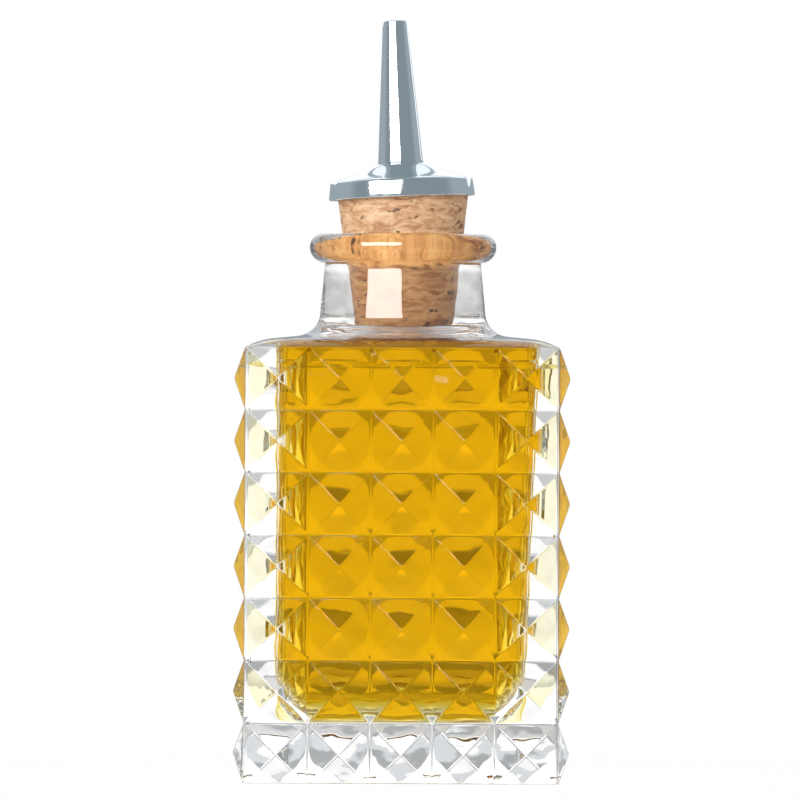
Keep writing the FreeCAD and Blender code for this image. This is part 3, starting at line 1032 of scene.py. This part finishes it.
# %% The floor
FLOOR_RADIUS, FLOOR_SIDES = 0.21, 96
FLOOR_DROP = 0.02          # the floor lies this far, in millimetres, under the foot
FLOOR_WHITE = 0.99         # share of plain white that the camera sees on the floor
floor = new_piece("floor", circle(FLOOR_RADIUS / MM, -FLOOR_DROP, FLOOR_SIDES),
                  [tuple(range(FLOOR_SIDES))], smooth=False)
floor_material, bench, shader, output = finish("pale_floor", {"Roughness": 0.6})
place = bench.node("ShaderNodeTexCoord", out="Object")
reach = bench.node("ShaderNodeVectorMath", {"operation": "LENGTH"}, {0: place}, out="Value")
# Pale round the foot, grey in a ring that the lower facets look at, a painted shadow, and pale again
# outside.
pale = reach.ramp(0.045, 0.080).blend((0.88, 0.875, 0.87, 1), (0.42, 0.42, 0.42, 1))
pale = reach.ramp(0.110, 0.150).blend(pale, (0.80, 0.80, 0.80, 1))
pale.into(shader, "Base Color")
seen = bench.node("ShaderNodeLightPath", out="Is Camera Ray")
plain = bench.node("ShaderNodeEmission", {}, {"Color": (1, 1, 1, 1), "Strength": 1.0})
bench.node("ShaderNodeMixShader", {}, {
    0: seen * FLOOR_WHITE, 1: Wire(bench.tree, shader.outputs[0]), 2: plain}).into(
        output, "Surface")
floor.data.materials.append(floor_material)
print("floor finish:", len(floor_material.node_tree.nodes), "nodes")

# %% The surroundings
BACKDROP_BELOW = (0.60, 0.60, 0.59, 1)
BACKDROP_LEVEL = (1.06, 1.05, 1.04, 1)
BACKDROP_ABOVE = (1.30, 1.29, 1.28, 1)
OVERHEAD = (0.52, 0.58, 0.63, 1)
BACKDROP_IN_MIRRORS = (0.33, 0.38, 0.42, 1)
ROOM, ROOM_AS_A_LIGHT = (0.235, 0.275, 0.305, 1), (0.80, 0.80, 0.80, 1)
WHITE = (1, 1, 1, 1)
# Depth is how far a direction points to the back and rise how far up, both from -1 to 1.
world = bpy.data.worlds.new("studio")
scene.world = world
world.use_nodes = True
world.node_tree.nodes.clear()
bench = Wire(world.node_tree)
direction = bench.node("ShaderNodeSeparateXYZ", {}, {
    0: bench.node("ShaderNodeTexCoord", out="Generated")})
depth, rise = direction.other("Y"), direction.other("Z")
backdrop = rise.ramp(-0.16, 0.02).blend(BACKDROP_BELOW, BACKDROP_LEVEL)
backdrop = rise.ramp(0.08, 0.28).blend(backdrop, BACKDROP_ABOVE)
backdrop = rise.ramp(0.42, 0.62).blend(backdrop, OVERHEAD)
seen = bench.node("ShaderNodeLightPath", out="Is Camera Ray")
not_through = bench.maths("LESS_THAN", seen.other("Is Transmission Ray"), 0.5)
mirrored = seen.other("Is Glossy Ray") * not_through
backdrop = mirrored.blend(backdrop, BACKDROP_IN_MIRRORS)
lighting = bench.maths("GREATER_THAN", seen.other("Diffuse Depth"), 0.5)
room = lighting.blend(ROOM, ROOM_AS_A_LIGHT)
surround = depth.ramp(-0.30, 0.10).blend(room, backdrop)
sky = seen.blend(surround, WHITE)
background = bench.node("ShaderNodeBackground", {}, {"Color": sky, "Strength": 1.0})
bench.node("ShaderNodeOutputWorld", {}, {"Surface": background})
print("world ready:", len(world.node_tree.nodes), "nodes")

# %% Lamps
MIDDLE = Vector((0, 0, 0.06))        # the point that the lamps face


def soft_lamp(name, azimuth, elevation, distance, width, height, radiance, mirrored):
    """A lamp, azimuth degrees left of the front; a mirrored one shows only in reflections."""
    lamp = bpy.data.lights.new(name, "AREA")
    lamp.shape = "RECTANGLE"
    lamp.size, lamp.size_y = width, height
    lamp.energy = radiance * math.pi * width * height
    lit = placed(name, lamp)
    az, el = math.radians(azimuth), math.radians(elevation)
    away = Vector((-math.sin(az) * math.cos(el), -math.cos(az) * math.cos(el), math.sin(el)))
    lit.location = MIDDLE + away * distance
    lit.rotation_euler = (-away).to_track_quat("-Z", "Y").to_euler()
    lit.visible_transmission = False
    lit.visible_glossy, lit.visible_diffuse = mirrored, not mirrored


soft_lamp("softbox", 27.5, 18.5, 0.60, 0.547, 0.31, 5.0, False)
soft_lamp("softbox in the mirror", 27.5, 18.5, 0.58, 0.529, 0.30, 15.0, True)
soft_lamp("pale ceiling behind", 180, 46, 0.80, 1.6, 0.42, 0.62, True)
soft_lamp("bright strip behind", 180, 19, 0.80, 1.6, 0.26, 0.74, True)

# %% Camera
camera_data = bpy.data.cameras.new("camera")
camera = placed("camera", camera_data)
scene.camera = camera
camera_data.sensor_width = 36.0
camera_data.lens = 450.0
camera_data.clip_end = 20.0
EYE = Vector((-0.0004, -1.684, 0.0603))
TARGET = Vector((-0.0004, 0.0, 0.0637))
ROLL = math.radians(0.27)
look = (TARGET - EYE).to_track_quat("-Z", "Y").to_matrix()
camera.rotation_euler = (look @ Matrix.Rotation(ROLL, 3, "Z")).to_euler()
camera.location = EYE
scene.view_settings.view_transform = "Standard"
scene.cycles.max_bounces = 32
scene.cycles.transmission_bounces = 32
scene.cycles.glossy_bounces = 12
scene.cycles.transparent_max_bounces = 16
print("camera %.2f m away, lens %.0f mm" % (-EYE.y, camera_data.lens))

# %% [markdown]
# ## Hand the pieces over
# Every piece rides on the model's one body, and the packed solid that it stands for is hidden.

# %% Ride and replace
for piece, node, slot in ((glass, "glass_bottle", "clear_glass"),
                          (bitters, "bitters_liquid", "bitters"),
                          (cork, "cork_stopper", "cork"),
                          (cap, "pourer_cap", "chromed_metal"),
                          (spout, "pourer_spout", "chromed_metal")):
    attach(piece, "root")
    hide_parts(node)
print("all pieces handed over")
